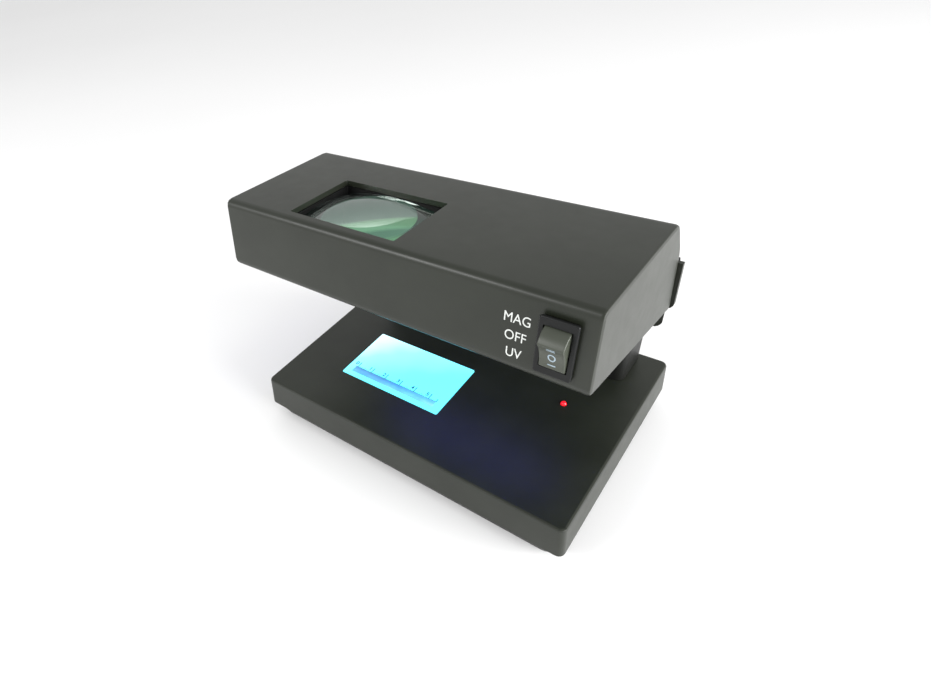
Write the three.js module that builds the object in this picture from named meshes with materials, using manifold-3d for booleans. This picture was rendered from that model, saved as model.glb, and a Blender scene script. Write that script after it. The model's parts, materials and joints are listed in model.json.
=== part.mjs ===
// Counterfeit bill detector: a flat base with a lit watermark panel, and a lamp and magnifier head
// held over it by a neck at the back. Millimetres, +X to the right, +Y to the back, +Z up.
// The origin is on the ground, at the centre of the object's box.
import * as THREE from "three";
import { mergeVertices } from "three/addons/utils/BufferGeometryUtils.js";
import Module from "manifold-3d";

const wasm = await Module();
wasm.setup();

// Driving dimensions
const GAP = 0.3; // clearance between neighbouring pieces
const WALL = 2.6; // moulded wall
const BASE_W = 184.5;
const BASE_D = 130.4;
const BASE_TOP = 28.5;
const PARTING = 10.3; // height of the seam between the base's two halves
const DRAFT = 1; // outward draft of the base's sides, from top to seam
const FOOT_H = 2; // how far the feet lift the base
const FLOOR = FOOT_H + 3; // top of the bottom cover's floor
const PANEL = { x: -25.1, y: 49.9, w: 65.6, d: 40.6 };
const LED = { x: 59.3, y: 72.1, r: 1.5 };
const BOARD = { x: 52, y: 84, w: 40, d: 84, z: 10.2, thick: 1.6 };
const ON_BOARD = BOARD.z + BOARD.thick + GAP; // where the parts on the board start
const INLET = { x: 64, w: 9, d: 13.5, h: 11 };
const COLUMN = { w: 155.5, y0: 102, y1: 130.1, top: 73 };
// The yoke narrows from its front width to its back width over its depth.
const YOKE = { w: 180.3, backW: 166, top: 112, front: 97, back: 128 };
const PLATE = { w: 186.4, bottom: 87.5, top: 114.5, thick: 2.4, corner: 4 };
const SENSOR = { y: 107, z: 97, w: 13, h: 17, proud: 1.2, depth: 8, r: 3.2 };
// The head leans back a little. Its own frame has v running back and w up, from its lower front edge.
const HEAD = { x: -0.6, y: 0.2, z: 111.5, lean: THREE.MathUtils.degToRad(4.14), w: 184.5, h: 34.5, sink: 9.2 };
const WINDOW = { x: -25.1, v: 27.9, w: 58, d: 41 };
const HEAD_TAPER = 1.6; // how much narrower the head is at its top than at its lower front edge
const LENS = { w: 57, d: 40.2, bottom: 26.6, h: 7, sphere: 106, eye: 21.6 };
const LAMP = { v: 70, w: 4.5, r: 7.9, length: 122 };
const SWITCH = { x: 77.8, w: 16.5, bezelW: 14.1, bezelH: 24.2, proud: 1.6, depth: 16 };
const ROCKER = { w: 9.6, pivot: 1.5, tip: [-6.6, 6.2], dip: -5.6, rest: THREE.MathUtils.degToRad(20) };
const ROCKER_R = Math.hypot(...ROCKER.tip); // radius of the key's curved ends about its pivot

const plastic = (color, roughness) => new THREE.MeshStandardMaterial({ color, roughness, metalness: 0 });
const metal = (color, roughness) => new THREE.MeshStandardMaterial({ color, roughness, metalness: 1 });
const BLACK = plastic(0x1b1b1c, 0.5);
const SATIN_BLACK = plastic(0x151516, 0.35);
const RUBBER = plastic(0x101010, 0.9);
const STEEL = metal(0xb5b7ba, 0.35);
const BRASS = metal(0xc9a45c, 0.35);
const PANEL_BLUE = plastic(0x7fe6ff, 0.4);
const RED = plastic(0xff3030, 0.2);
const GLASS = plastic(0xb7d2c6, 0.05);
const VIOLET_GLASS = plastic(0x2a1f4d, 0.1);
const WHITE = plastic(0xe6e6e2, 0.5);
const GREEN_BOARD = plastic(0x1f6b3a, 0.6);
const WIRE_GREY = plastic(0x6d6f74, 0.6);

// Solids and booleans
function solid(geometry) {
  const bare = geometry.clone();
  bare.deleteAttribute("normal");
  bare.deleteAttribute("uv");
  const merged = mergeVertices(bare, 1e-3);
  return new wasm.Manifold(
    new wasm.Mesh({
      numProp: 3,
      vertProperties: merged.attributes.position.array,
      triVerts: new Uint32Array(merged.index.array),
    }),
  );
}

function surface(made) {
  const mesh = made.getMesh();
  const geometry = new THREE.BufferGeometry();
  geometry.setAttribute("position", new THREE.BufferAttribute(mesh.vertProperties, 3));
  geometry.setIndex(new THREE.BufferAttribute(mesh.triVerts, 1));
  geometry.computeVertexNormals();
  return geometry;
}

const cut = (body, ...tools) => surface(tools.reduce((left, tool) => left.subtract(solid(tool)), solid(body)));
const join = (...bodies) => surface(bodies.map(solid).reduce((all, body) => all.add(body)));
const common = (a, b) => surface(solid(a).intersect(solid(b)));

// Outlines
function roundRect(width, depth, radius, x = 0, y = 0) {
  const shape = new THREE.Shape();
  const right = x + width / 2 - radius;
  const left = x - width / 2 + radius;
  const back = y + depth / 2 - radius;
  const front = y - depth / 2 + radius;
  shape.absarc(right, back, radius, 0, Math.PI / 2, false);
  shape.absarc(left, back, radius, Math.PI / 2, Math.PI, false);
  shape.absarc(left, front, radius, Math.PI, 1.5 * Math.PI, false);
  shape.absarc(right, front, radius, 1.5 * Math.PI, 2 * Math.PI, false);
  return shape;
}

function polygon(points) {
  return new THREE.Shape(points.map(([x, y]) => new THREE.Vector2(x, y)));
}

// A polygon whose corners are rounded by quadratic curves; each point is [x, y, radius].
function softPolygon(points) {
  const shape = new THREE.Shape();
  points.forEach(([x, y, radius], i) => {
    const corner = new THREE.Vector2(x, y);
    const towards = (other) => new THREE.Vector2(other[0], other[1]).sub(corner).setLength(radius).add(corner);
    const from = towards(points[(i + points.length - 1) % points.length]);
    const to = towards(points[(i + 1) % points.length]);
    if (i === 0) shape.moveTo(from.x, from.y);
    else shape.lineTo(from.x, from.y);
    shape.quadraticCurveTo(x, y, to.x, to.y);
  });
  return shape;
}

// Extrusions: up along Z, across along X (outline in Y and Z), and back along Y (outline in X and Z).
function extrude(shape, length, bevel = 0) {
  return new THREE.ExtrudeGeometry(shape, {
    depth: length - 2 * bevel,
    bevelEnabled: bevel > 0,
    bevelThickness: bevel,
    bevelSize: bevel,
    bevelOffset: -bevel,
    bevelSegments: 2,
    curveSegments: 3,
  }).translate(0, 0, bevel);
}

const rise = (shape, z0, z1, bevel) => extrude(shape, z1 - z0, bevel).translate(0, 0, z0);

function across(shape, x0, x1, bevel) {
  const turn = new THREE.Matrix4().makeBasis(
    new THREE.Vector3(0, 1, 0),
    new THREE.Vector3(0, 0, 1),
    new THREE.Vector3(1, 0, 0),
  );
  return extrude(shape, x1 - x0, bevel).applyMatrix4(turn).translate(x0, 0, 0);
}

const backwards = (shape, y0, y1, bevel) =>
  extrude(shape, y1 - y0, bevel).rotateX(Math.PI / 2).translate(0, y1, 0);

const box = (x0, x1, y0, y1, z0, z1) =>
  new THREE.BoxGeometry(x1 - x0, y1 - y0, z1 - z0).translate((x0 + x1) / 2, (y0 + y1) / 2, (z0 + z1) / 2);

const postZ = (r, z0, z1, x, y, sides = 14) =>
  new THREE.CylinderGeometry(r, r, z1 - z0, sides).rotateX(Math.PI / 2).translate(x, y, (z0 + z1) / 2);

const postX = (r, x0, x1, y, z, sides = 18) =>
  new THREE.CylinderGeometry(r, r, x1 - x0, sides).rotateZ(Math.PI / 2).translate((x0 + x1) / 2, y, z);

const postY = (r, y0, y1, x, z, sides = 12) =>
  new THREE.CylinderGeometry(r, r, y1 - y0, sides).translate(x, (y0 + y1) / 2, z);

// Widens or narrows a geometry about a centre line as it rises from z0 to z1.
function taper(geometry, z0, z1, growX, growY, centreY = 0) {
  const position = geometry.attributes.position;
  for (let i = 0; i < position.count; i++) {
    const t = (position.getZ(i) - z0) / (z1 - z0);
    position.setX(i, position.getX(i) * (1 + growX * t));
    position.setY(i, centreY + (position.getY(i) - centreY) * (1 + growY * t));
  }
  return geometry;
}

function piece(name, geometry, material) {
  const mesh = new THREE.Mesh(geometry, material);
  mesh.name = name;
  return mesh;
}

// A pan-head screw standing on its head at the origin, pointing up, with a cross slot below.
function screwGeometry(headR, headH, shankR, length) {
  const profile = [
    [0, 0],
    [headR * 0.7, 0],
    [headR, headH * 0.5],
    [headR, headH],
    [shankR, headH],
    [shankR, length - shankR],
    [0, length],
  ].map(([r, z]) => new THREE.Vector2(r, z));
  const body = new THREE.LatheGeometry(profile, 10).rotateX(Math.PI / 2);
  const arm = headR * 0.55;
  const blade = headR * 0.14;
  const deep = headH * 0.6;
  return cut(body, box(-arm, arm, -blade, blade, -1, deep), box(-blade, blade, -arm, arm, -1, deep));
}

// Base
const MID_Y = BASE_D / 2;
const BASE_SCREWS = [-1, 1].flatMap((sx) => [14, 116].map((y) => [sx * 78, y]));
const FEET = [-1, 1].flatMap((sx) => [27, 103].map((y) => [sx * 74, y]));
const SCREW_SINK = 1.8; // depth of the pocket that hides each screw's head

function baseBlock(inset, z0, z1, bevel) {
  const grow = DRAFT / (BASE_TOP - PARTING);
  const w = BASE_W - 2 * inset;
  const d = BASE_D - 2 * inset;
  const block = rise(roundRect(w, d, 3.4 - inset / 2, 0, MID_Y), z0, z1, bevel);
  return taper(block, BASE_TOP, BASE_TOP - 1, (2 * grow) / BASE_W, (2 * grow) / BASE_D, MID_Y);
}

function baseTopShell() {
  const below = PARTING - 4;
  const posts = BASE_SCREWS.map(([x, y]) => postZ(4, FLOOR + GAP, BASE_TOP - 1, x, y));
  const holes = BASE_SCREWS.map(([x, y]) => postZ(1.7, FLOOR - 1, FLOOR + 12, x, y, 12));
  const shell = cut(
    baseBlock(0, below, BASE_TOP, 1.2),
    baseBlock(WALL, below - 1, BASE_TOP - WALL),
    box(-100, 100, -10, 140, 0, PARTING),
  );
  const halfJack = INLET.w / 2 + GAP;
  const jack = box(INLET.x - halfJack, INLET.x + halfJack, 120, 140, ON_BOARD - GAP, ON_BOARD + INLET.h + GAP);
  return cut(
    join(shell, ...posts),
    ...holes,
    rise(roundRect(PANEL.w + 2 * GAP, PANEL.d + 2 * GAP, 1, PANEL.x, PANEL.y), 20, 40),
    postZ(LED.r + GAP, 20, 40, LED.x, LED.y),
    box(-30, 30, COLUMN.y0 + 6, COLUMN.y1 - 6, 20, 40),
    jack,
  );
}

function baseBottomCover() {
  const top = PARTING - 0.5;
  const flare = 6.6; // how much wider and deeper the cover is at the seam than at the ground
  const w = BASE_W + 0.2 - flare;
  const d = BASE_D + 0.2 - flare;
  const outer = taper(rise(roundRect(w, d, 7, 0, MID_Y), FOOT_H, top), FOOT_H, top, flare / w, flare / d, MID_Y);
  const hollow = rise(roundRect(w - 2 * WALL, d - 2 * WALL, 5, 0, MID_Y), FLOOR, top + 1);
  const ribs = [-1, 1].map((side) => {
    const x = BOARD.x + side * (BOARD.w / 2 - 5);
    return box(x - 1, x + 1, 50, 120, FLOOR - 1, BOARD.z - GAP);
  });
  const pockets = BASE_SCREWS.flatMap(([x, y]) => [
    postZ(3.3, 0, FOOT_H + SCREW_SINK, x, y),
    postZ(1.7, 0, FLOOR + 1, x, y, 12),
  ]);
  const seats = FEET.map(([x, y]) => postZ(6.4, 0, FOOT_H + 0.7, x, y, 20));
  const vents = [0, 1, 2, 3, 4, 5].map((i) => box(-32, -8, 44 + 7 * i, 46.4 + 7 * i, 0, FLOOR + 1));
  return cut(join(cut(outer, hollow), ...ribs), ...pockets, ...seats, ...vents);
}

function feet() {
  return FEET.map(([x, y], i) => {
    const profile = [
      [0, 0],
      [5.2, 0],
      [6, 0.8],
      [6, FOOT_H + 0.4],
      [0, FOOT_H + 0.4],
    ].map(([r, z]) => new THREE.Vector2(r, z));
    const geometry = new THREE.LatheGeometry(profile, 20).rotateX(Math.PI / 2).translate(x, y, 0);
    return piece(`rubber_foot_${i + 1}`, geometry, RUBBER);
  });
}

function baseScrews() {
  return BASE_SCREWS.map(([x, y], i) => {
    const geometry = screwGeometry(2.9, 1.4, 1.4, 12).translate(x, y, FOOT_H + 0.1);
    return piece(`base_screw_${i + 1}`, geometry, STEEL);
  });
}

function watermarkLight() {
  const under = BASE_TOP - WALL - GAP; // underside of the shell's top wall, less the clearance
  const lip = 2.6;
  const panel = join(
    rise(roundRect(PANEL.w, PANEL.d, 0.8, PANEL.x, PANEL.y), under - 1, BASE_TOP + 0.1),
    rise(roundRect(PANEL.w + 2 * lip, PANEL.d + 2 * lip, 1, PANEL.x, PANEL.y), under - 1.5, under),
  );
  const boxTop = under - 1.5 - GAP;
  const tray = cut(
    rise(roundRect(PANEL.w + 2 * lip, PANEL.d + 2 * lip, 1.5, PANEL.x, PANEL.y), 12, boxTop),
    rise(roundRect(PANEL.w + 2, PANEL.d + 2, 1, PANEL.x, PANEL.y), 13.4, boxTop + 1),
  );
  const strip = box(PANEL.x - 30, PANEL.x + 30, PANEL.y - 17, PANEL.y + 17, 13.7, 15.3);
  const lamps = [-20, 0, 20].flatMap((dx) =>
    [-9, 9].map((dy) => box(PANEL.x + dx - 2.5, PANEL.x + dx + 2.5, PANEL.y + dy - 2.5, PANEL.y + dy + 2.5, 15, 17)),
  );
  return [
    piece("watermark_panel", panel, PANEL_BLUE),
    piece("watermark_light_box", tray, WHITE),
    piece("watermark_led_board", join(strip, ...lamps), WHITE),
  ];
}

function indicatorLed() {
  const profile = [new THREE.Vector2(0, 20.6), new THREE.Vector2(1.9, 20.6), new THREE.Vector2(1.9, 21.6)];
  const steps = 4;
  for (let i = 0; i <= steps; i++) {
    const a = (i / steps) * (Math.PI / 2);
    profile.push(new THREE.Vector2(LED.r * Math.cos(a), BASE_TOP - 0.1 + LED.r * Math.sin(a)));
  }
  profile[profile.length - 1].x = 0;
  profile.splice(3, 0, new THREE.Vector2(LED.r, 21.6));
  const geometry = new THREE.LatheGeometry(profile, 16).rotateX(Math.PI / 2).translate(LED.x, LED.y, 0);
  return piece("indicator_led", geometry, RED);
}

function electronics() {
  const { x, y, w, d, z, thick } = BOARD;
  const sit = ON_BOARD;
  const jackY = COLUMN.y1 + 0.8 - INLET.d;
  const jackZ = sit + INLET.h / 2;
  const jack = cut(
    box(INLET.x - INLET.w / 2, INLET.x + INLET.w / 2, jackY, jackY + INLET.d, sit, sit + INLET.h),
    postY(3, jackY + 3, jackY + INLET.d + 1, INLET.x, jackZ),
  );
  const core = box(x - 15, x + 15, 47, 61, sit, sit + 12.5);
  const winding = box(x - 10, x + 10, 43.5, 64.5, sit + 1.5, sit + 11);
  return [
    piece("control_board", box(x - w / 2, x + w / 2, y - d / 2, y + d / 2, z, z + thick), GREEN_BOARD),
    piece("lamp_transformer", join(core, winding), BRASS),
    piece("buzzer", cut(postZ(6, sit, sit + 7, x - 9, 83, 20), postZ(1, sit + 4, sit + 9, x - 9, 83, 8)), BLACK),
    piece("led_carrier", postZ(2.6, sit, 20.3, LED.x, LED.y, 14), WHITE),
    piece("power_inlet", join(jack, postY(1, jackY + 1, jackY + INLET.d - 1.5, INLET.x, jackZ, 12)), BLACK),
  ];
}

// Neck: the column stands on the base, and the yoke on top of it carries the head.
const COLUMN_SCREWS = [-1, 1].flatMap((sx) => [41, 62].map((z) => [sx * 62, z]));

function column() {
  const { w, y0, y1, top } = COLUMN;
  const depth = y1 - y0;
  const bottom = BASE_TOP + GAP;
  const height = top - GAP;
  const coverY = y1 - 2.4;
  const tube = cut(
    rise(roundRect(w, depth, 5, 0, (y0 + y1) / 2), bottom, height),
    box(-w / 2 + WALL, w / 2 - WALL, y0 + WALL, y1 + 1, bottom - 1, height + 1),
  );
  const bosses = COLUMN_SCREWS.map(([x, z]) => postY(3.2, y0 + 1, coverY - GAP, x, z));
  const holes = COLUMN_SCREWS.map(([x, z]) => postY(1.6, coverY - 12, coverY + 1, x, z, 12));
  const cover = cut(
    box(-w / 2 + WALL + GAP, w / 2 - WALL - GAP, coverY, y1, bottom + 0.2, height - 0.2),
    ...COLUMN_SCREWS.flatMap(([x, z]) => [
      postY(1.6, coverY - 1, y1 + 1, x, z, 12),
      postY(3, y1 - 1.2, y1 + 1, x, z),
    ]),
  );
  const screws = COLUMN_SCREWS.map(([x, z], i) => {
    const geometry = screwGeometry(2.6, 1, 1.3, 11).rotateX(Math.PI / 2).translate(x, y1 - 0.1, z);
    return piece(`column_screw_${i + 1}`, geometry, STEEL);
  });
  return [
    piece("column_shell", cut(join(tube, ...bosses), ...holes), BLACK),
    piece("column_back_cover", cover, BLACK),
    ...screws,
  ];
}

// The yoke seen from the side: upright at the back, sloping down from the top, leaning on the head.
function yokeBlock(side, inset) {
  const height = YOKE.top - COLUMN.top - 2 * inset;
  const front = roundRect(YOKE.w - 2 * inset, height, 6 - inset, 0, (YOKE.top + COLUMN.top) / 2);
  const wide = YOKE.w / 2 - inset;
  const narrow = YOKE.backW / 2 - inset;
  const plan = polygon([
    [-wide, YOKE.front - 10],
    [wide, YOKE.front - 10],
    [wide, YOKE.front],
    [narrow, YOKE.back],
    [-narrow, YOKE.back],
    [-wide, YOKE.front],
  ]);
  return common(common(backwards(front, 80, 140), across(side, -100, 100)), rise(plan, 60, 120));
}

function yokeOuter() {
  const { top, back } = YOKE;
  const side = softPolygon([
    [98.2, COLUMN.top, 2],
    [back, COLUMN.top, 3],
    [back, 94, 4],
    [102.5, top, 3],
    [94.9, top, 1.5],
    [98.4, 86, 1.5],
  ]);
  return yokeBlock(side, 0);
}

function yokeHollow() {
  const { top, back } = YOKE;
  const side = polygon([
    [98.2 + WALL, COLUMN.top + WALL],
    [back - WALL, COLUMN.top + WALL],
    [back - WALL, 94 - WALL],
    [102, top - WALL],
    [98, top - WALL],
    [98.4 + WALL, 86],
  ]);
  return yokeBlock(side, WALL);
}

const WIRE_HOLE = { x: 40, z: 100.2, r: 3.3 };
const wireHole = (y0, y1) => postY(WIRE_HOLE.r, y0, y1, WIRE_HOLE.x, WIRE_HOLE.z);

function yoke() {
  const { w, h, depth } = SENSOR;
  return cut(
    yokeOuter(),
    yokeHollow(),
    box(-30, 30, COLUMN.y0 + 4, COLUMN.y1 - 6, 60, 80),
    onYokeEnd(across(roundRect(w + 2 * GAP, h + 2 * GAP, 3 + GAP), -depth, depth)),
    wireHole(90, 104),
  );
}

// Thin plate between the yoke and the head, parallel to the head's leaning rear wall.
function mountingPlate() {
  const { w, bottom, top, thick, corner } = PLATE;
  const lean = 0.14 * (top - bottom);
  const back = 97.9;
  const side = polygon([
    [back - thick, bottom],
    [back, bottom],
    [back - lean, top],
    [back - thick - lean, top],
  ]);
  const front = backwards(roundRect(w, top - bottom + corner, corner, 0, (top + bottom + corner) / 2), 85, 105);
  return cut(common(across(side, -100, 100), front), wireHole(85, 105));
}

// Stands a geometry on the yoke's slanting right end: its own X points out of the wall.
function onYokeEnd(geometry) {
  const slope = (YOKE.w - YOKE.backW) / 2 / (YOKE.back - YOKE.front);
  const x = YOKE.w / 2 - slope * (SENSOR.y - YOKE.front);
  return geometry.rotateZ(Math.atan(slope)).translate(x, SENSOR.y, SENSOR.z);
}

function magneticSensor() {
  const { w, h, proud, depth, r } = SENSOR;
  const housing = across(roundRect(w, h, 3), GAP - depth, proud, 0.5);
  return [
    piece("magnetic_sensor_housing", onYokeEnd(cut(housing, postX(r + GAP, -depth, depth, 0, 0))), BLACK),
    piece("magnetic_sensor_head", onYokeEnd(postX(r, -depth, proud + GAP, 0, 0)), STEEL),
  ];
}

// Head, in its own frame
const bottomW = (v) => -0.6 - v * Math.tan(THREE.MathUtils.degToRad(HEAD.sink));
const HEAD_BACK = 96;
const HEAD_KNEE = [89, 17]; // where the sloping shoulder meets the rear wall
const SHOULDER = 76.3; // where the flat top ends
const HEAD_SCREWS = [
  [-84, 11],
  [62, 11],
  [-84, 82],
  [84, 82],
];

function headOuter() {
  const side = softPolygon([
    [0, bottomW(0), 3.6],
    [HEAD_BACK, bottomW(HEAD_BACK), 3.6],
    [HEAD_KNEE[0], HEAD_KNEE[1], 5],
    [SHOULDER, HEAD.h, 4],
    [1, HEAD.h, 3.6],
  ]);
  const block = across(side, -HEAD.w / 2, HEAD.w / 2, 1.4);
  return taper(block, 0, HEAD.h, -HEAD_TAPER / HEAD.w, 0).translate(HEAD.x, 0, 0);
}

function headInner() {
  const side = polygon([
    [WALL, -8],
    [HEAD_BACK - WALL + 2, bottomW(HEAD_BACK) - 8],
    [HEAD_BACK - WALL, bottomW(HEAD_BACK)],
    [HEAD_KNEE[0] - WALL - 0.2, HEAD_KNEE[1] - 1],
    [SHOULDER - 1.6, HEAD.h - WALL],
    [WALL + 1, HEAD.h - WALL],
  ]);
  const half = HEAD.w / 2 - WALL - 0.1;
  return taper(across(side, -half, half), 0, HEAD.h, -HEAD_TAPER / HEAD.w, 0).translate(HEAD.x, 0, 0);
}

function headTopShell() {
  const outer = headOuter();
  const posts = HEAD_SCREWS.map(([x, v]) => postZ(3.4, bottomW(v) + 3.4, HEAD.h, x, v));
  const holes = HEAD_SCREWS.map(([x, v]) => postZ(1.6, bottomW(v) - 5, bottomW(v) + 15, x, v, 12));
  const { x, w, bezelW, bezelH } = SWITCH;
  const walls = join(cut(outer, headInner()), common(join(...posts.slice(0, 1)), outer));
  const full = posts.slice(1).reduce((shell, post) => join(shell, common(post, outer)), walls);
  return cut(
    full,
    ...holes,
    rise(roundRect(WINDOW.w, WINDOW.d, 0.8, WINDOW.x, WINDOW.v), HEAD.h - 8, HEAD.h + 5),
    box(x - bezelW / 2 + 1.2, x + bezelW / 2 - 1.2, -5, 5, w - bezelH / 2 + 0.9, w + bezelH / 2 - 0.9),
    postY(3.4, 80, 104, 40, -4.6),
  );
}

function headBottomCover() {
  const side = polygon([
    [WALL + GAP, bottomW(WALL + GAP) + 0.3],
    [92.8, bottomW(92.8) + 0.3],
    [92.4, bottomW(92.8) + 2.7],
    [WALL + GAP, bottomW(WALL + GAP) + 2.7],
  ]);
  const half = HEAD.w / 2 - WALL - 0.5;
  const countersinks = HEAD_SCREWS.flatMap(([x, v]) => [
    postZ(1.6, -30, 10, x, v, 12),
    postZ(3, -30, bottomW(v) + 1.5, x, v),
  ]);
  return cut(
    across(side, HEAD.x - half, HEAD.x + half),
    ...countersinks,
    rise(roundRect(54, 37, 3, WINDOW.x, WINDOW.v), -30, 10),
    rise(roundRect(132, 24, 3, 0, LAMP.v), -30, 10),
  );
}

function headScrews() {
  return HEAD_SCREWS.map(([x, v], i) => {
    const geometry = screwGeometry(2.6, 1.1, 1.3, 12).translate(x, v, bottomW(v) + 0.2);
    return piece(`head_screw_${i + 1}`, geometry, STEEL);
  });
}

function magnifier() {
  const { w, d, bottom, h, sphere, eye } = LENS;
  const { x, v } = WINDOW;
  const reach = 36; // past the lens's corners
  const steps = 6;
  const profile = [new THREE.Vector2(0, 0), new THREE.Vector2(reach, 0)];
  for (let i = 0; i <= steps; i++) {
    const radius = reach * (1 - i / steps);
    profile.push(new THREE.Vector2(radius, h - sphere + Math.sqrt(sphere * sphere - radius * radius)));
  }
  const dome = new THREE.LatheGeometry(profile, 40).rotateX(Math.PI / 2);
  const lens = common(dome, box(-w / 2, w / 2, -d / 2, d / 2, -1, h + 1)).translate(x, v, bottom);
  const seat = bottom - GAP;
  const tunnelW = WINDOW.w + 4;
  const tunnelD = WINDOW.d + 3.6;
  const frame = cut(
    rise(roundRect(tunnelW, WINDOW.d + 5, 1.5, x, v), seat - 1.6, HEAD.h - WALL - GAP),
    postZ(eye, 0, 40, x, v, 40),
    rise(roundRect(WINDOW.w, WINDOW.d, 0.8, x, v), seat, 40),
  );
  const tunnel = cut(
    rise(roundRect(tunnelW, tunnelD, 1.5, x, v), -6, seat - 1.6 - GAP),
    rise(roundRect(tunnelW - 3, tunnelD - 3, 1, x, v), -7, 40),
    across(polygon([[0, bottomW(0) + 3.2], [60, bottomW(60) + 3.2], [60, -30], [0, -30]]), -90, 50),
  );
  return [
    piece("magnifier_lens", lens, GLASS),
    piece("lens_frame", frame, SATIN_BLACK),
    piece("viewing_tunnel", tunnel, SATIN_BLACK),
  ];
}

function lamp() {
  const { v, w, r, length } = LAMP;
  const half = length / 2;
  const caps = [-1, 1].map((side) => {
    const inner = side * (half + GAP);
    const outer = side * (half + 6);
    const pinEnd = side * (half + 12);
    const ferrule = postX(r, Math.min(inner, outer), Math.max(inner, outer), v, w);
    const pins = [-2.4, 2.4].map((dw) => postX(1, Math.min(outer - side, pinEnd), Math.max(outer - side, pinEnd), v, w + dw, 10));
    return piece(side < 0 ? "lamp_cap_left" : "lamp_cap_right", join(ferrule, ...pins), STEEL);
  });
  const holders = [-1, 1].map((side) => {
    const near = side * (half + 6 + GAP);
    const far = side * (half + 14);
    const x0 = Math.min(near, far);
    const x1 = Math.max(near, far);
    const slots = [-2.4, 2.4].map((dw) => postX(1.3, x0 - 1, x1 + 1, v, w + dw, 10));
    const block = cut(box(x0, x1, v - 6, v + 6, w - 8, w + 12), ...slots);
    return piece(side < 0 ? "lamp_holder_left" : "lamp_holder_right", block, WHITE);
  });
  const sheet = softPolygon([
    [v - 14, w - 6, 0.1],
    [v - 13, w - 6, 0.1],
    [v - 8.4, w + 10.4, 2],
    [v + 7, w + 10.4, 2],
    [v + 12, w - 8, 0.1],
    [v + 13, w - 8, 0.1],
    [v + 7.8, w + 11.4, 2],
    [v - 9.2, w + 11.4, 2],
  ]);
  return [
    piece("uv_tube", postX(r, -half, half, v, w, 24), VIOLET_GLASS),
    ...caps,
    ...holders,
    piece("lamp_reflector", across(sheet, -half - 3, half + 3), STEEL),
  ];
}

function ballast() {
  const top = HEAD.h - WALL;
  const board = box(14, 58, 14, 48, top - 5, top - 3.4);
  const coil = cut(postZ(7.5, top - 17, top - 5 - GAP, 30, 31, 24), postZ(2, top - 30, top - 10, 30, 31, 12));
  const capacitor = postX(3.4, 44, 54, 40, top - 9, 16);
  return [
    piece("ballast_board", board, GREEN_BOARD),
    piece("ballast_coil", coil, BRASS),
    piece("ballast_capacitor", capacitor, BLACK),
  ];
}

// Three-position rocker switch in the front wall.
function switchParts() {
  const { x, w, bezelW, bezelH, proud, depth } = SWITCH;
  const openW = ROCKER.w + 0.8;
  const flange = backwards(roundRect(bezelW, bezelH, 1, x, w), -proud - GAP, -GAP, 0.5);
  const halfW = bezelW / 2 - 1.6;
  const halfH = bezelH / 2 - 1.2;
  const body = box(x - halfW, x + halfW, -1, depth, w - halfH, w + halfH);
  const sweep = postX(ROCKER_R + GAP, x - openW / 2, x + openW / 2, ROCKER.pivot, w, 48);
  const housing = cut(join(flange, body), sweep);
  const terminals = [-7, 0, 7].map((dw, i) => {
    const blade = box(x - 2.4, x + 2.4, depth + GAP, depth + 8, w + dw - 0.4, w + dw + 0.4);
    return piece(`switch_terminal_${i + 1}`, cut(blade, postZ(0.8, w + dw - 2, w + dw + 2, x, depth + 6, 12)), BRASS);
  });
  return [piece("switch_housing", housing, SATIN_BLACK), ...terminals];
}

// The rocker turns about its pivot; at rest its lower end is pushed in.
function rocker() {
  const { w, pivot, tip, dip, rest } = ROCKER;
  const from = Math.atan2(tip[1], -tip[0]);
  const to = THREE.MathUtils.degToRad(92); // where the two curved ends stop
  const steps = 8;
  const upper = [];
  for (let i = 0; i <= steps; i++) {
    const a = from + ((to - from) * i) / steps;
    upper.push([-ROCKER_R * Math.cos(a), ROCKER_R * Math.sin(a)]);
  }
  upper.push([3.5, 6], [5, 2.5]);
  const lower = upper.map(([v, z]) => [v, -z]);
  const side = polygon([[dip, 0], ...lower, ...upper.reverse()]);
  const key = across(side, -w / 2, w / 2, 0.5);
  const mesh = piece("switch_rocker", key, SATIN_BLACK);
  mesh.rotation.x = rest;
  mesh.position.set(SWITCH.x, pivot, SWITCH.w);
  return mesh;
}

// Wiring: one harness from the control board up the neck and into the head.
function harness() {
  const route = new THREE.CatmullRomCurve3(
    [
      [44, 96, 14],
      [38, 106, 17],
      [22, 115, 24],
      [20, 116, 50],
      [24, 115, 78],
      [38, 112, 94],
      [40, 106, 99.9],
      [40, 97, 100.2],
      [40, 86, 101],
    ].map(([x, y, z]) => new THREE.Vector3(x, y, z)),
  );
  const section = new THREE.Shape();
  section.absarc(0, 0, 1.7, 0, 2 * Math.PI, false);
  const tube = new THREE.ExtrudeGeometry(section, { steps: 36, extrudePath: route, curveSegments: 4 });
  return piece("wire_harness", tube, WIRE_GREY);
}

function head() {
  const group = new THREE.Group();
  group.add(
    piece("head_top_shell", headTopShell(), BLACK),
    piece("head_bottom_cover", headBottomCover(), BLACK),
    ...headScrews(),
    ...magnifier(),
    ...lamp(),
    ...ballast(),
    ...switchParts(),
    rocker(),
  );
  group.rotation.x = -HEAD.lean;
  group.position.set(0, HEAD.y, HEAD.z);
  return group;
}

const model = new THREE.Group();
model.add(
  piece("base_top_shell", baseTopShell(), BLACK),
  piece("base_bottom_cover", baseBottomCover(), BLACK),
  ...feet(),
  ...baseScrews(),
  ...watermarkLight(),
  indicatorLed(),
  ...electronics(),
  ...column(),
  piece("neck_yoke", yoke(), BLACK),
  piece("head_mounting_plate", mountingPlate(), BLACK),
  ...magneticSensor(),
  head(),
  harness(),
);

const bounds = new THREE.Box3().setFromObject(model, true);
const middle = bounds.getCenter(new THREE.Vector3());
model.position.set(-middle.x, -middle.y, -bounds.min.z);
const detector = new THREE.Group();
detector.add(model);

export default detector;
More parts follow.
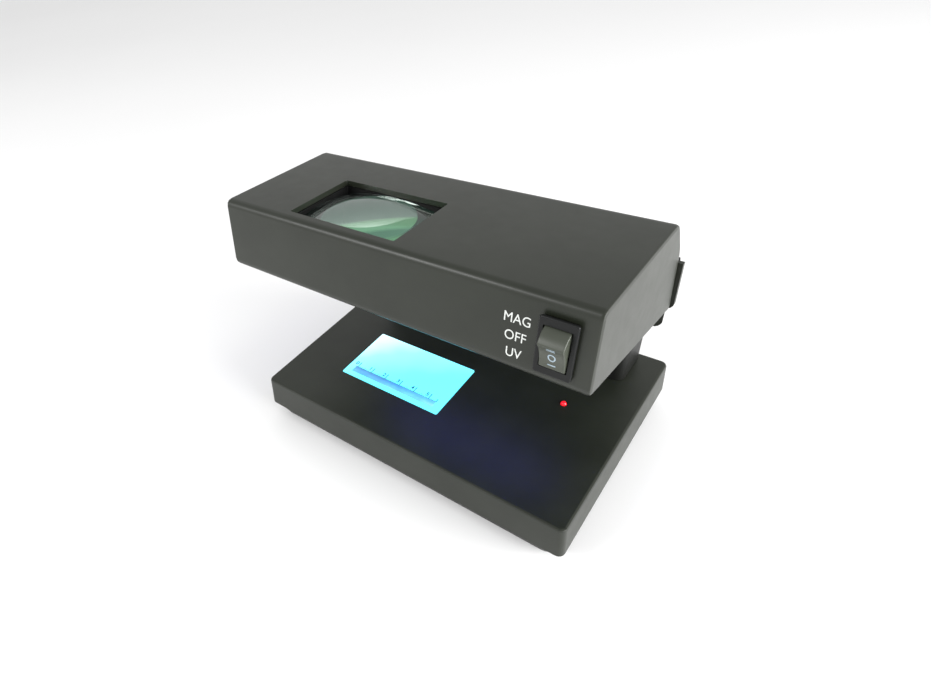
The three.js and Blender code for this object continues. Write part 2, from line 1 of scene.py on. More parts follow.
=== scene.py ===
# Looks of the counterfeit bill detector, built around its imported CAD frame. Metres, +Y to the back.
import json
import math

import bmesh
import bpy
from mathutils import Matrix, Vector


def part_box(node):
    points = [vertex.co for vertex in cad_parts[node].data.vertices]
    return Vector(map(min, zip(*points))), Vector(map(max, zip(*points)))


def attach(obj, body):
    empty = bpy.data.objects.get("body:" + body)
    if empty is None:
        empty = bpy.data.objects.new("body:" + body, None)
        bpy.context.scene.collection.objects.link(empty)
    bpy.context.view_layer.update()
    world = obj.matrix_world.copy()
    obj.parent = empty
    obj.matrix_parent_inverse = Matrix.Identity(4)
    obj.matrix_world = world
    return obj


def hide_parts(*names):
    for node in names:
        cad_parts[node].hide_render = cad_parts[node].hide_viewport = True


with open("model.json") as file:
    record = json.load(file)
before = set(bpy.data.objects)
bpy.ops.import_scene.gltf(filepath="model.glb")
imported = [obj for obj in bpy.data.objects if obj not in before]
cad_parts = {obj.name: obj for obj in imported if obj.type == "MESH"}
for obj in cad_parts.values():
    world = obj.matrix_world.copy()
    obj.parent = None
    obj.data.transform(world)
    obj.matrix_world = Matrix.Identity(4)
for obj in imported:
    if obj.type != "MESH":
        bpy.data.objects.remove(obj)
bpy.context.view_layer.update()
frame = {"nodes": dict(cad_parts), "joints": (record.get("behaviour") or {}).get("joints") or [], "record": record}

MM = 0.001
FINE = 0.00004  # half the thickness of raised print

# The head's own frame: x to the right, v back, w up, from the middle of its lower front edge.
LEAN = math.radians(4.14)  # the head leans back
PIVOT = Vector(frame["joints"][0]["pos_m"])  # the rocker key's pivot
PIVOT_IN_HEAD = Vector((0, 1.5 * MM, 16.5 * MM))
HEAD_TURN = Matrix.Rotation(-LEAN, 4, "X")
HEAD_ORIGIN = Vector((0, PIVOT.y, PIVOT.z)) - HEAD_TURN @ PIVOT_IN_HEAD
HEAD = Matrix.Translation(HEAD_ORIGIN) @ HEAD_TURN
FACE_RISE = math.atan(1 / 35.1)  # the head's front face leans back a little more than the head
FACE_FOOT = 0.6 * MM  # how far the front face goes on below the head's origin

# Sizes of the rocker key: its own frame has the pivot as origin, v back, w up, turned by its rest angle.
KEY_REST = math.radians(20)
KEY_PIVOT = Matrix.Translation((PIVOT.x, PIVOT_IN_HEAD.y, PIVOT_IN_HEAD.z))
KEY = HEAD @ KEY_PIVOT @ Matrix.Rotation(KEY_REST, 4, "X")
KEY_HALF_WIDTH = 4.8 * MM
KEY_TIP = Vector((6.6 * MM, 6.2 * MM))  # the tip of each end, in front of the pivot and above or below it
KEY_DIP = 5.6 * MM  # how far in front of the pivot the middle of the dished face is
KEY_BACK = [(3.5 * MM, 6 * MM), (5 * MM, 2.5 * MM)]  # corners behind the pivot
PRINT_BACK = 0.2 * FINE  # how far the back and the front of the key's print are off its face
PRINT_FRONT = 2 * FINE

# Sizes of the lens: its own frame has the middle of its flat underside as origin, turned as the head.
LENS_PLACE = HEAD @ Matrix.Translation((-25.1 * MM, 27.9 * MM, 26.6 * MM))
LENS_WIDTH = 57 * MM
LENS_DEPTH = 40.2 * MM
LENS_HEIGHT = 7 * MM  # at its middle
LENS_SPHERE = 106 * MM  # radius of the curved top
LENS_GROUND = 0.6 * MM  # the bevel along the rear edge


# Materials
class Look:
    """A node material: a Principled shader with helpers for procedural detail in object space."""

    def __init__(self, name):
        self.material = bpy.data.materials.new(name)
        self.material.use_nodes = True
        self.tree = self.material.node_tree
        self.shader = self.tree.nodes["Principled BSDF"]
        self.place = self.add("ShaderNodeTexCoord").outputs["Object"]

    def add(self, kind, **settings):
        node = self.tree.nodes.new(kind)
        for key, value in settings.items():
            setattr(node, key, value)
        return node

    def link(self, source, target):
        self.tree.links.new(source, target)

    def set(self, **values):
        for key, value in values.items():
            self.shader.inputs[key.replace("_", " ")].default_value = value
        return self

    def paint(self, source, *inputs):
        for name in inputs:
            self.link(source, self.shader.inputs[name])
        return self

    def axes(self, source):
        """The X, Y and Z parts of a vector."""
        parts = self.add("ShaderNodeSeparateXYZ")
        self.link(source, parts.inputs["Vector"])
        return parts.outputs["X"], parts.outputs["Y"], parts.outputs["Z"]

    def maths(self, operation, first, second):
        node = self.add("ShaderNodeMath", operation=operation)
        self.link(first, node.inputs[0])
        self.link(second, node.inputs[1])
        return node.outputs["Value"]

    def fitted(self, location, scale):
        """Object space moved and scaled, so that the location is 0 and one scale away from it is 1."""
        mapping = self.add("ShaderNodeMapping", vector_type="TEXTURE")
        mapping.inputs["Location"].default_value = location
        mapping.inputs["Scale"].default_value = scale
        self.link(self.place, mapping.inputs["Vector"])
        return mapping.outputs["Vector"]

    def noise(self, scale, detail=3.0, stretch=(1, 1, 1)):
        mapping = self.add("ShaderNodeMapping")
        mapping.inputs["Scale"].default_value = stretch
        self.link(self.place, mapping.inputs["Vector"])
        texture = self.add("ShaderNodeTexNoise")
        texture.inputs["Scale"].default_value = scale
        texture.inputs["Detail"].default_value = detail
        self.link(mapping.outputs["Vector"], texture.inputs["Vector"])
        return texture.outputs["Fac"]

    def ramp(self, source, stops):
        ramp = self.add("ShaderNodeValToRGB")
        points = ramp.color_ramp.elements
        while len(points) < len(stops):
            points.new(0.5)
        for point, (position, colour) in zip(points, stops):
            point.position = position
            point.color = (*colour, 1)
        self.link(source, ramp.inputs["Fac"])
        return ramp.outputs["Color"]

    def blotches(self, source, dark, light):
        """Two shades of a colour, mixed by a noise or a pattern."""
        return self.ramp(source, [(0.3, dark), (0.7, light)])

    def level(self, source, low, high):
        """A value from 0 to 1 spread between low and high."""
        span = self.add("ShaderNodeMapRange")
        span.inputs["To Min"].default_value = low
        span.inputs["To Max"].default_value = high
        self.link(source, span.inputs["Value"])
        return span.outputs["Result"]

    def share(self, source, zero, one, kind="LINEAR"):
        """How far the source is from one value to another, from 0 to 1."""
        span = self.add("ShaderNodeMapRange", interpolation_type=kind)
        span.inputs["From Min"].default_value = zero
        span.inputs["From Max"].default_value = one
        self.link(source, span.inputs["Value"])
        return span.outputs["Result"]

    def step(self, source, zero, one):
        """A smooth step from 0 to 1 between two values of the source."""
        return self.share(source, zero, one, "SMOOTHSTEP")

    def colour(self, source, dark, light):
        return self.paint(self.blotches(source, dark, light), "Base Color")

    def rough(self, source, low, high):
        return self.paint(self.level(source, low, high), "Roughness")

    def bump(self, source, strength, distance):
        bump = self.add("ShaderNodeBump")
        bump.inputs["Strength"].default_value = strength
        bump.inputs["Distance"].default_value = distance
        self.link(source, bump.inputs["Height"])
        return self.paint(bump.outputs["Normal"], "Normal")


def moulded_plastic(name, dark, light, low, high, grain=0.12, shine=0.42):
    look = Look(name)
    look.colour(look.noise(45, 5), dark, light)
    look.rough(look.noise(160, 4), low, high)
    look.bump(look.noise(3200, 2), grain, 0.00006)
    return look.set(Specular_IOR_Level=shine).material


def rubber():
    look = Look("rubber")
    look.colour(look.noise(300, 4), (0.012, 0.012, 0.012), (0.03, 0.03, 0.029))
    look.rough(look.noise(500), 0.75, 0.95)
    look.bump(look.noise(1800), 0.3, 0.0001)
    return look.material


def metal(name, dark, light, low, high, stretch=(1, 1, 1)):
    look = Look(name)
    look.colour(look.noise(250, 4, stretch), dark, light)
    look.rough(look.noise(700, 3, stretch), low, high)
    look.bump(look.noise(1200, 2, stretch), 0.15, 0.00005)
    return look.set(Metallic=1.0).material


def circuit_board():
    """Green board, with tracks as the mortar of a brick pattern."""
    look = Look("circuit_board")
    brick = look.add("ShaderNodeTexBrick")
    brick.inputs["Scale"].default_value = 260
    brick.inputs["Color1"].default_value = (0.012, 0.11, 0.04, 1)
    brick.inputs["Color2"].default_value = (0.02, 0.16, 0.06, 1)
    brick.inputs["Mortar"].default_value = (0.05, 0.28, 0.1, 1)
    brick.inputs["Mortar Size"].default_value = 0.03
    look.link(look.place, brick.inputs["Vector"])
    look.paint(brick.outputs["Color"], "Base Color")
    look.rough(look.noise(400), 0.3, 0.5)
    look.bump(brick.outputs["Fac"], 0.2, 0.00005)
    return look.material


def windings():
    look = Look("copper_windings")
    wave = look.add("ShaderNodeTexWave", bands_direction="Z")
    wave.inputs["Scale"].default_value = 700
    look.link(look.place, wave.inputs["Vector"])
    look.colour(wave.outputs["Fac"], (0.28, 0.1, 0.035), (0.75, 0.36, 0.16))
    look.rough(look.noise(500), 0.25, 0.4)
    look.bump(wave.outputs["Fac"], 0.5, 0.0002)
    return look.set(Metallic=0.9).material


def lit_panel():
    """Opal acrylic lit from below: blue at its front right, paler towards its rear left, with soft clouds."""
    low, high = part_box("watermark_panel")
    look = Look("lit_opal_acrylic")
    x, y, _ = look.axes(look.fitted(low, high - low))
    cloud = look.add("ShaderNodeMath", operation="MULTIPLY_ADD")
    look.link(look.noise(28, 2), cloud.inputs[0])
    cloud.inputs[1].default_value = 0.5
    look.link(look.maths("SUBTRACT", y, x), cloud.inputs[2])
    stops = [
        (0.0, (0.1, 0.72, 0.98)),
        (0.45, (0.14, 0.86, 1.0)),
        (0.75, (0.25, 0.93, 1.0)),
        (1.0, (0.6, 0.98, 1.0)),
    ]
    glow = look.ramp(look.level(cloud.outputs["Value"], 0.35, 1.0), stops)
    look.paint(glow, "Emission Color", "Base Color")
    look.rough(look.noise(300), 0.25, 0.4)
    return look.set(Emission_Strength=0.9).material


# The bar's emission is painted light: the panel's light shining through the blue ink.
def printed_blue():
    look = Look("ruler_bar_print")
    tint = look.blotches(look.noise(160, 3), (0.07, 0.3, 0.62), (0.1, 0.4, 0.74))
    look.paint(tint, "Base Color", "Emission Color")
    look.rough(look.noise(500), 0.35, 0.5)
    return look.set(Emission_Strength=0.7).material


# glow is painted light: emission that brightens the print whatever light falls on it
def printed(name, dark, light, glow=0.0):
    look = Look(name)
    tint = look.blotches(look.noise(900, 3), dark, light)
    look.paint(tint, "Base Color", "Emission Color")
    look.rough(look.noise(800), 0.45, 0.65)
    return look.set(Emission_Strength=glow).material


def clear_red():
    """The indicator's red plastic, lit, and brightest at its middle."""
    low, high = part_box("indicator_led")
    middle = (low + high) / 2
    reach = 1.6 * MM
    tall = 1000  # makes the glow the same at every height
    look = Look("clear_red_lens")
    spread = look.add("ShaderNodeTexGradient", gradient_type="SPHERICAL")
    look.link(look.fitted((middle.x, middle.y, 0), (reach, reach, tall)), spread.inputs["Vector"])
    stops = [(0.0, (0.6, 0.0, 0.005)), (0.06, (0.9, 0.01, 0.015)), (0.22, (1.0, 0.55, 0.5))]
    look.paint(look.ramp(spread.outputs["Fac"], stops), "Emission Color")
    look.rough(look.noise(900), 0.1, 0.2)
    return look.set(Base_Color=(0.9, 0.02, 0.03, 1), Emission_Strength=1.5).material


def lens_glass():
    """Clear green-tinted glass. A painted glow on its underside stands for the light from the panel far below that
    fills the round eyehole under it.
    """
    look = Look("lens_glass")
    tint = look.blotches(look.noise(60, 2), (0.8, 0.93, 0.87), (0.85, 0.96, 0.9))
    look.paint(tint, "Base Color")
    look.rough(look.noise(220), 0.01, 0.03)
    x, y, z = look.axes(look.place)
    flat = look.add("ShaderNodeCombineXYZ")
    look.link(x, flat.inputs["X"])
    look.link(y, flat.inputs["Y"])
    radius = look.add("ShaderNodeVectorMath", operation="LENGTH")
    look.link(flat.outputs["Vector"], radius.inputs[0])
    eyehole = look.step(radius.outputs["Value"], 21.7 * MM, 21.3 * MM)
    underside = look.step(z, 0.2 * MM, 0.1 * MM)
    reach = 30 * MM
    stops = [  # painted glow, from the rear left to the front right: dim light, a bright crescent, a dark edge
        (0.0, (0.025, 0.06, 0.045)),
        (0.5, (0.035, 0.08, 0.06)),
        (0.6, (0.045, 0.095, 0.07)),
        (0.64, (0.1, 0.24, 0.12)),
        (0.8, (0.1, 0.23, 0.115)),
        (0.86, (0.02, 0.06, 0.03)),
    ]
    nearer = look.share(look.maths("SUBTRACT", x, y), -reach, reach)
    look.paint(look.ramp(nearer, stops), "Emission Color")
    # the painted glow lies only on the underside, inside the eyehole's circle
    look.paint(look.maths("MULTIPLY", eyehole, underside), "Emission Strength")
    return look.set(Transmission_Weight=1.0, IOR=1.49, Specular_IOR_Level=0.12).material


def ground_edge():
    """The lens's ground rear edge, with a painted glint along its middle."""
    look = Look("ground_glass_edge_painted_glint")
    x = look.axes(look.place)[0]
    start = look.step(x, -9 * MM, -6 * MM)
    end = look.step(x, 26.5 * MM, 25 * MM)
    look.paint(look.maths("MULTIPLY", start, end), "Emission Strength")
    look.colour(look.noise(400), (0.5, 0.56, 0.52), (0.6, 0.66, 0.62))
    look.paint(look.blotches(look.noise(700), (0.86, 0.86, 0.8), (1.0, 1.0, 0.95)), "Emission Color")
    look.rough(look.noise(900), 0.1, 0.25)
    return look.material


def filter_glass():
    """The lamp tube's violet glass, lit."""
    look = Look("violet_filter_glass")
    tint = look.blotches(look.noise(90, 2), (0.08, 0.05, 0.55), (0.13, 0.08, 0.75))
    look.paint(tint, "Base Color", "Emission Color")
    look.rough(look.noise(300), 0.06, 0.12)
    return look.set(Emission_Strength=2.5).material


def wire_cover():
    look = Look("wire_insulation")
    look.colour(look.noise(400), (0.1, 0.1, 0.11), (0.2, 0.2, 0.21))
    look.rough(look.noise(500), 0.4, 0.6)
    look.bump(look.noise(900), 0.2, 0.0001)
    return look.material


# Moulded plastics: darker and lighter shade, lowest and highest roughness.
BLACK = moulded_plastic("black_abs_plastic", (0.011, 0.0135, 0.008), (0.016, 0.019, 0.0125), 0.33, 0.42)
KEY_LOOK = moulded_plastic(
    "grey_black_key_plastic", (0.04, 0.046, 0.034), (0.054, 0.06, 0.045), 0.3, 0.4, grain=0.05
)
SATIN = moulded_plastic(
    "satin_black_plastic",
    (0.006, 0.0065, 0.0065),
    (0.009, 0.0095, 0.0095),
    0.24,
    0.34,
    grain=0.06,
    shine=0.22,
)
DULL = moulded_plastic(
    "dull_black_plastic", (0.005, 0.005, 0.005), (0.008, 0.008, 0.008), 0.5, 0.65, shine=0.12
)
# Darker than the black plastic: painted shade on the column under the head, and on the base's bottom cover.
SHADED_MATT = moulded_plastic(
    "matt_black_plastic_painted_shade", (0.006, 0.0065, 0.0055), (0.009, 0.0095, 0.0085), 0.42, 0.52, shine=0.2
)
WHITE = moulded_plastic("white_plastic", (0.72, 0.72, 0.7), (0.82, 0.82, 0.8), 0.35, 0.5)
STEEL = metal("zinc_steel", (0.5, 0.5, 0.52), (0.68, 0.68, 0.7), 0.25, 0.4)
SHEET = metal("bright_sheet", (0.78, 0.79, 0.81), (0.9, 0.9, 0.92), 0.12, 0.25, stretch=(0.1, 1, 1))
# The prints' glow is painted light; on the lit panel it stands for the panel's light coming through the ink.
PRINT = printed("white_print", (0.6, 0.62, 0.6), (0.74, 0.76, 0.73), glow=0.06)
PALE_PRINT = printed("pale_blue_print", (0.28, 0.36, 0.42), (0.38, 0.46, 0.52), glow=0.03)
DARK_PRINT = printed("dark_blue_print", (0.01, 0.1, 0.24), (0.02, 0.15, 0.32), glow=0.12)
SLOT_LOOKS = {
    "black_plastic": BLACK,
    "satin_black_plastic": SATIN,
    "rubber": rubber(),
    "steel": STEEL,
    "copper": windings(),
    "panel_acrylic": lit_panel(),
    "white_plastic": WHITE,
    "red_lens": clear_red(),
    "circuit_board": circuit_board(),
    "lens_glass": lens_glass(),
    "lamp_glass": filter_glass(),
    "reflector": SHEET,
    "wire_insulation": wire_cover(),
}
NODE_LOOKS = {  # nodes that look different from the rest of their slot
    "lens_frame": DULL,
    "viewing_tunnel": DULL,
    # column_shell and base_bottom_cover: darker plastic, painted shade
    "column_shell": SHADED_MATT,
    "base_bottom_cover": SHADED_MATT,
}
SOFT_EDGES = {  # radius of the worn-in edge that each moulding gets, in millimetres
    "head_top_shell": 0.35,
    "base_top_shell": 0.3,
    "base_bottom_cover": 0.5,
    "column_shell": 0.4,
    "column_back_cover": 0.3,
    "neck_yoke": 0.4,
    "magnetic_sensor_housing": 0.2,
    "switch_housing": 0.25,
    "watermark_panel": 0.15,
    "head_bottom_cover": 0.3,
    "power_inlet": 0.25,
}
SMALL_EDGE = 0.08  # the same for every other node


def soften(piece, width, segments, angle):
    """Round the edges that are sharper than an angle in degrees."""
    bevel = piece.modifiers.new("edges", "BEVEL")
    bevel.width = width
    bevel.segments = segments
    bevel.limit_method = "ANGLE"
    bevel.angle_limit = math.radians(angle)
    bevel.harden_normals = True
    return bevel


def even_shading(piece):
    even = piece.modifiers.new("even_shading", "WEIGHTED_NORMAL")
    even.keep_sharp = False
    return even


def dress_cad_nodes():
    slots = {row["node"]: row["material_slot"] for row in frame["record"]["subparts"]}
    for name, node in frame["nodes"].items():
        node.data.materials.clear()
        node.data.materials.append(NODE_LOOKS.get(name) or SLOT_LOOKS[slots[name]])
        for face in node.data.polygons:
            face.use_smooth = True
        weld = node.modifiers.new("weld", "WELD")
        weld.merge_threshold = 0.002 * MM
        segments = 3 if name in SOFT_EDGES else 1
        bevel = soften(node, SOFT_EDGES.get(name, SMALL_EDGE) * MM, segments, angle=38)
        bevel.use_clamp_overlap = True
        even_shading(node).weight = 80


# Pieces
def finish_piece(name, bm, material, body, place):
    bm.normal_update()
    mesh = bpy.data.meshes.new(name)
    bm.to_mesh(mesh)
    bm.free()
    for face in mesh.polygons:
        face.use_smooth = True
    mesh.materials.append(material)
    piece = bpy.data.objects.new(name, mesh)
    piece.matrix_world = place
    bpy.context.scene.collection.objects.link(piece)
    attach(piece, body)
    return piece


def finish_closed(name, bm, material, body, place):
    """A closed piece, with its faces turned outwards first."""
    bmesh.ops.recalc_face_normals(bm, faces=bm.faces)
    return finish_piece(name, bm, material, body, place)


def print_text(name, text, height, place, material, bold=0.0, narrow=1.0):
    """Raised print: a word as a thin closed mesh, centred on the place's origin."""
    capital = 0.72  # height of a capital letter in a font of size 1
    curve = bpy.data.curves.new(name + "_letters", "FONT")
    curve.body = text
    curve.align_x = "CENTER"
    curve.align_y = "CENTER"
    curve.size = height / capital
    curve.extrude = FINE
    curve.offset = bold
    curve.resolution_u = 5
    letters = bpy.data.objects.new(name + "_letters", curve)
    bpy.context.scene.collection.objects.link(letters)
    bpy.context.view_layer.update()
    bm = bmesh.new()
    bm.from_mesh(letters.to_mesh())
    bmesh.ops.remove_doubles(bm, verts=bm.verts, dist=1e-7)
    bmesh.ops.scale(bm, vec=(narrow, 1, 1), verts=bm.verts)
    bpy.data.objects.remove(letters)
    bpy.data.curves.remove(curve)
    piece = finish_piece(name, bm, material, "housing", place)
    for face in piece.data.polygons:
        face.use_smooth = False


def flat_bar(bm, x0, x1, y0, y1, z):
    """A printed rectangle, with its middle at height z."""
    made = bmesh.ops.create_cube(bm, size=1)
    size = Vector((x1 - x0, y1 - y0, 2 * FINE))
    centre = Vector(((x0 + x1) / 2, (y0 + y1) / 2, z))
    bmesh.ops.transform(bm, matrix=Matrix.LocRotScale(centre, None, size), verts=made["verts"])


def ruler():
    """The printed bar, its ticks and the centimetres' numbers, on the lit panel."""
    low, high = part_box("watermark_panel")
    lip = 2.6 * MM  # the part of the panel all round that is under the shell
    left = low.x + lip + 4.6 * MM
    front = low.y + lip + 3.2 * MM
    depth = 4.4 * MM
    length = 56.2 * MM
    z = high.z + FINE
    bar = bmesh.new()
    flat_bar(bar, left, left + length, front, front + depth, z)
    finish_piece("ruler_bar", bar, printed_blue(), "housing", Matrix.Identity(4))

    ticks = bmesh.new()
    numbers = 6
    first = left + 0.8 * MM  # where the ruler's 0 is
    back = front + depth
    tick = 0.45 * MM
    long_tick, end_tick, middle_tick, short_tick = 4.2 * MM, 2.4 * MM, 1.6 * MM, 0.9 * MM
    for i in range(numbers):
        x = first + i * 10 * MM
        flat_bar(ticks, x, x + tick, back, back + long_tick, z)
        for k in range(1, 10):
            tall = middle_tick if k == 5 else short_tick
            if x + k * MM < left + length:
                flat_bar(ticks, x + k * MM, x + k * MM + tick / 3, back, back + tall, z)
    flat_bar(ticks, left + length - tick, left + length, back, back + end_tick, z)
    flat_bar(ticks, left, left + length, back, back + tick / 2, z)
    finish_piece("ruler_ticks", ticks, DARK_PRINT, "housing", Matrix.Identity(4))

    height = 2.7 * MM
    behind = 2.7 * MM
    beside = 1.9  # a number stands this far to the left of its tick, in millimetres
    bold = 0.00006  # how much its strokes grow on each side
    for i in range(numbers):
        place = Matrix.Translation((first + (i * 10 - beside) * MM, back + behind, z))
        print_text(f"ruler_digit_{i}", str(i), height, place, DARK_PRINT, bold)


def face_place(x, w):
    """A place for print just clear of the head's front face, at height w, facing the user."""
    v = math.tan(FACE_RISE) * (w + FACE_FOOT)
    clear = 1.5 * FINE
    return HEAD @ Matrix.Translation((x, v - clear, w)) @ Matrix.Rotation(math.pi / 2 - FACE_RISE, 4, "X")


def head_labels():
    """The words for the key's three positions, to the left of the switch."""
    labels = (
        ("label_magnetic", "MAG", 21.9 * MM),
        ("label_off", "OFF", 14.5 * MM),
        ("label_ultraviolet", "UV", 7.1 * MM),
    )
    x = PIVOT.x - 15.6 * MM
    letter_height = 4.2 * MM
    for name, text, w in labels:
        print_text(name, text, letter_height, face_place(x, w), PRINT, narrow=0.84)


def key_face(w):
    """How far in front of the pivot the key's dished face is, at height w."""
    return KEY_DIP + (KEY_TIP.x - KEY_DIP) * (w / KEY_TIP.y) ** 2


def key_outline():
    """The key from the side: the dished face from top to bottom, then round the back to the top again."""
    steps = 18
    heights = [KEY_TIP.y * (1 - 2 * i / steps) for i in range(steps + 1)]
    face = [(-key_face(w), w) for w in heights]
    radius = KEY_TIP.length
    start = math.atan2(KEY_TIP.y, KEY_TIP.x)
    stop = math.radians(92)
    arc_steps = 12
    arc = [start + (stop - start) * i / arc_steps for i in range(1, arc_steps + 1)]
    upper = [(-radius * math.cos(a), radius * math.sin(a)) for a in arc] + KEY_BACK
    return face + [(v, -w) for v, w in upper] + upper[::-1]


def rocker_key():
    bm = bmesh.new()
    left, right = (
        [bm.verts.new((x, v, w)) for v, w in key_outline()] for x in (-KEY_HALF_WIDTH, KEY_HALF_WIDTH)
    )
    for i in range(len(left)):
        j = (i + 1) % len(left)
        bm.faces.new((left[i], left[j], right[j], right[i]))
    bm.faces.new(left[::-1])
    bm.faces.new(right)
    piece = finish_closed("rocker_key", bm, KEY_LOOK, "rocker", KEY)
    soften(piece, 0.5 * MM, segments=4, angle=35)
    even_shading(piece)
    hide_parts("switch_rocker")


def key_patch(bm, x0, x1, w0, w1):
    """A thin strip of print that follows the key's dished face."""
    steps = 4
    rows = []
    for i in range(steps + 1):
        w = w0 + (w1 - w0) * i / steps
        v = -key_face(w)
        rows.append([bm.verts.new((x, v - off, w)) for off in (PRINT_BACK, PRINT_FRONT) for x in (x0, x1)])
    for a, b in zip(rows, rows[1:]):
        bm.faces.new((a[2], b[2], b[3], a[3]))
        bm.faces.new((a[0], a[1], b[1], b[0]))
        bm.faces.new((a[0], b[0], b[2], a[2]))
        bm.faces.new((a[1], a[3], b[3], b[1]))
    for row, order in ((rows[0], (0, 2, 3, 1)), (rows[-1], (0, 1, 3, 2))):
        bm.faces.new([row[k] for k in order])


def key_marks():
    """The pale bars and the ring on the key's face."""
    bars = bmesh.new()
    half_bar, thick = 1.5 * MM, 0.45 * MM
    for w in (4.7 * MM, 3.8 * MM, -4.6 * MM):
        key_patch(bars, -half_bar, half_bar, w, w + thick)
    finish_closed("key_bars", bars, PALE_PRINT, "rocker", KEY)

    ring = bmesh.new()
    sides = 32
    middle = -0.5 * MM
    half_wide, half_tall = 1.45 * MM, 2.0 * MM
    hole = 0.68  # the hole's size as a share of the ring's
    loops = []
    for scale, off in ((1.0, PRINT_FRONT), (hole, PRINT_FRONT), (hole, PRINT_BACK), (1.0, PRINT_BACK)):
        loop = []
        for i in range(sides):
            a = 2 * math.pi * i / sides
            w = middle + half_tall * scale * math.sin(a)
            loop.append(ring.verts.new((half_wide * scale * math.cos(a), -key_face(w) - off, w)))
        loops.append(loop)
    for a, b in zip(loops, loops[1:] + loops[:1]):
        for i in range(sides):
            j = (i + 1) % sides
            ring.faces.new((a[i], a[j], b[j], b[i]))
    finish_closed("key_ring", ring, PALE_PRINT, "rocker", KEY)


def spin(name, profile, sides, place, material, node):
    """A turned piece that stands for a CAD node: (radius, height) points from axis to axis."""
    bm = bmesh.new()
    angles = [2 * math.pi * i / sides for i in range(sides)]
    rings = []
    for radius, height in profile:
        if radius < 1e-9:
            rings.append([bm.verts.new((0, 0, height))])
        else:
            rings.append([bm.verts.new((radius * math.cos(a), radius * math.sin(a), height)) for a in angles])
    for a, b in zip(rings, rings[1:]):
        for i in range(sides):
            j = (i + 1) % sides
            corners = [a[i % len(a)], a[j % len(a)], b[j % len(b)], b[i % len(b)]]
            bm.faces.new(list(dict.fromkeys(corners)))
    piece = finish_closed(name, bm, material, "housing", place)
    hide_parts(node)


def lens():
    """The magnifier: flat below, part of a sphere above, with a ground bevel along its rear edge."""
    across, along = 36, 24  # how many parts the top is divided into
    columns = [LENS_WIDTH * (i / across - 0.5) for i in range(across + 1)]
    rows = [(LENS_DEPTH - LENS_GROUND) * i / along - LENS_DEPTH / 2 for i in range(along + 1)]
    centre = LENS_HEIGHT - LENS_SPHERE  # height of the sphere's middle
    bm = bmesh.new()
    top = []
    for v in rows:
        top.append([bm.verts.new((x, v, centre + math.sqrt(LENS_SPHERE**2 - x**2 - v**2))) for x in columns])
    top.append([bm.verts.new((vert.co.x, LENS_DEPTH / 2, vert.co.z - LENS_GROUND)) for vert in top[-1]])
    for front, back in zip(top, top[1:]):
        for i in range(across):
            bm.faces.new((front[i], front[i + 1], back[i + 1], back[i]))
    rim = top[0] + [row[-1] for row in top[1:]] + top[-1][-2::-1] + [row[0] for row in top[-2:0:-1]]
    foot = [bm.verts.new((vert.co.x, vert.co.y, 0)) for vert in rim]
    for i, vert in enumerate(rim):
        j = (i + 1) % len(rim)
        bm.faces.new((foot[i], foot[j], rim[j], vert))
    bm.faces.new(foot[::-1])
    glass = SLOT_LOOKS["lens_glass"]
    piece = finish_closed("magnifier_glass", bm, glass, "housing", LENS_PLACE)
    # the ground bevel's faces carry the painted glint
    piece.data.materials.append(ground_edge())
    for face in piece.data.polygons:
        if 0.3 < face.normal.z < 0.9:  # only the ground bevel is that steep
            face.material_index = 1
    piece.data.set_sharp_from_angle(angle=math.radians(25))
    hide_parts("magnifier_lens")


def indicator():
    """A round-topped LED with a flange at its foot."""
    low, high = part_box("indicator_led")
    middle = (low + high) / 2
    radius = 1.5 * MM
    flange = 1.9 * MM
    flange_top = low.z + 1 * MM
    dome_foot = high.z - radius
    profile = [(0, low.z), (flange, low.z), (flange, flange_top), (radius, flange_top)]
    steps = 12
    for i in range(steps + 1):
        a = math.pi / 2 * i / steps
        profile.append((radius * math.cos(a) if i < steps else 0, dome_foot + radius * math.sin(a)))
    place = Matrix.Translation((middle.x, middle.y, 0))
    spin("indicator_dome", profile, 40, place, SLOT_LOOKS["red_lens"], "indicator_led")


# Stage
def soft_light(name, place, target, size, power, colour=(1, 1, 1)):
    light = bpy.data.lights.new(name, "AREA")
    light.shape = "RECTANGLE"
    light.size, light.size_y = size
    light.energy = power
    light.color = colour
    lamp = bpy.data.objects.new(name, light)
    lamp.location = place
    lamp.rotation_mode = "QUATERNION"
    lamp.rotation_quaternion = (Vector(target) - Vector(place)).to_track_quat("-Z", "Y")
    bpy.context.scene.collection.objects.link(lamp)


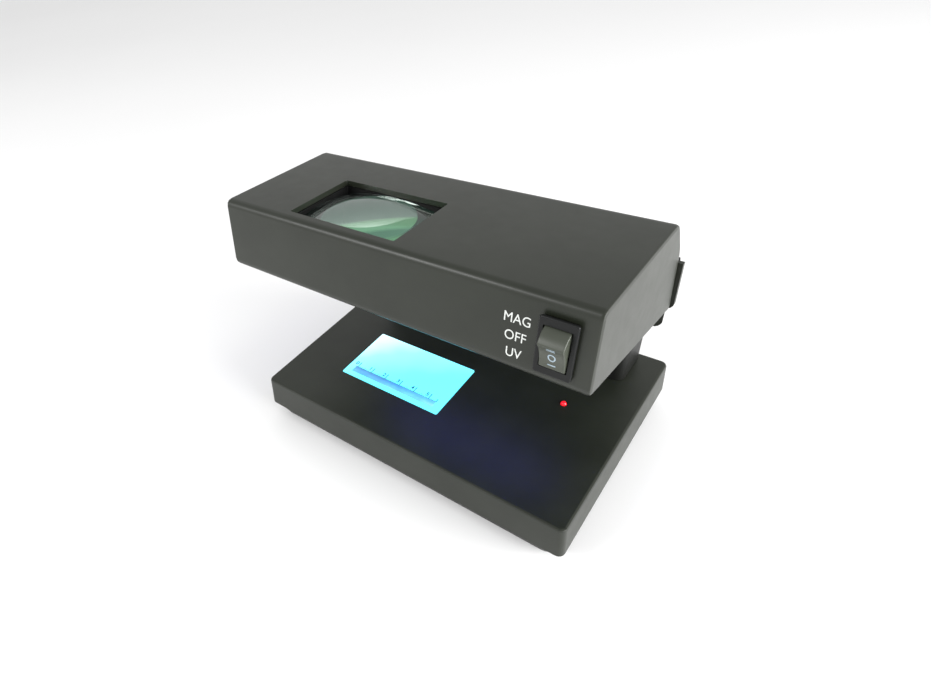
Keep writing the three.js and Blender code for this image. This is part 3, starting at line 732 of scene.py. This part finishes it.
def stage():
    """A pale floor, an even white surround, and two soft lights."""
    bm = bmesh.new()
    bmesh.ops.create_grid(bm, x_segments=1, y_segments=1, size=6)
    mesh = bpy.data.meshes.new("floor")
    bm.to_mesh(mesh)
    bm.free()
    floor = bpy.data.objects.new("floor", mesh)
    look = Look("pale_floor")
    look.colour(look.noise(2), (0.88, 0.88, 0.88), (0.9, 0.9, 0.9))
    look.rough(look.noise(3), 0.6, 0.7)
    mesh.materials.append(look.material)
    bpy.context.scene.collection.objects.link(floor)
    world = bpy.data.worlds.new("studio")
    world.use_nodes = True
    sky = world.node_tree.nodes["Background"]
    sky.inputs["Color"].default_value = (1, 1, 1, 1)
    sky.inputs["Strength"].default_value = 0.82
    bpy.context.scene.world = world
    soft_light("key_light", (-0.62, -1.0, 0.75), target=(0, 0, 0.08), size=(0.6, 0.4), power=9)
    soft_light("side_light", (1.0, 0.05, 0.3), target=(0, 0, 0.05), size=(0.9, 0.5), power=19)


def lamp_glow():
    """The violet-blue light that the lamp throws on the base."""
    low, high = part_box("uv_tube")
    middle = (low + high) / 2
    place = (middle.x, middle.y, low.z - 1 * MM)
    target = (middle.x, middle.y - 20 * MM, 0)
    soft_light("lamp_glow", place, target, size=(0.11, 0.012), power=0.008, colour=(0.12, 0.2, 1))


def camera():
    """The photo's viewpoint, worked out from the object's straight edges."""
    azimuth, elevation, roll = (math.radians(a) for a in (46.906, 39.334, -10.28))
    level = math.cos(elevation)
    back = Vector((math.sin(azimuth) * level, -math.cos(azimuth) * level, math.sin(elevation)))
    right = (-back).cross(Vector((0, 0, 1))).normalized()
    up = right.cross(-back)
    turned = right * math.cos(roll) + up * math.sin(roll)
    lifted = up * math.cos(roll) - right * math.sin(roll)
    data = bpy.data.cameras.new("camera")
    data.sensor_width = 36
    data.lens = 23.365
    data.shift_x = 0.1455
    data.shift_y = -0.0056
    data.clip_start = 0.01
    base_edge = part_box("base_top_shell")[0].y + 1 * MM  # the base top's front edge, above the wider seam
    cam = bpy.data.objects.new("camera", data)
    cam.matrix_world = Matrix((turned, lifted, back)).transposed().to_4x4()
    cam.location = (136.05 * MM, base_edge - 158.28 * MM, 271.4 * MM)
    bpy.context.scene.collection.objects.link(cam)
    bpy.context.scene.camera = cam


camera()
stage()
lamp_glow()
dress_cad_nodes()
ruler()
head_labels()
rocker_key()
key_marks()
lens()
indicator()
bpy.context.scene.view_settings.view_transform = "Standard"
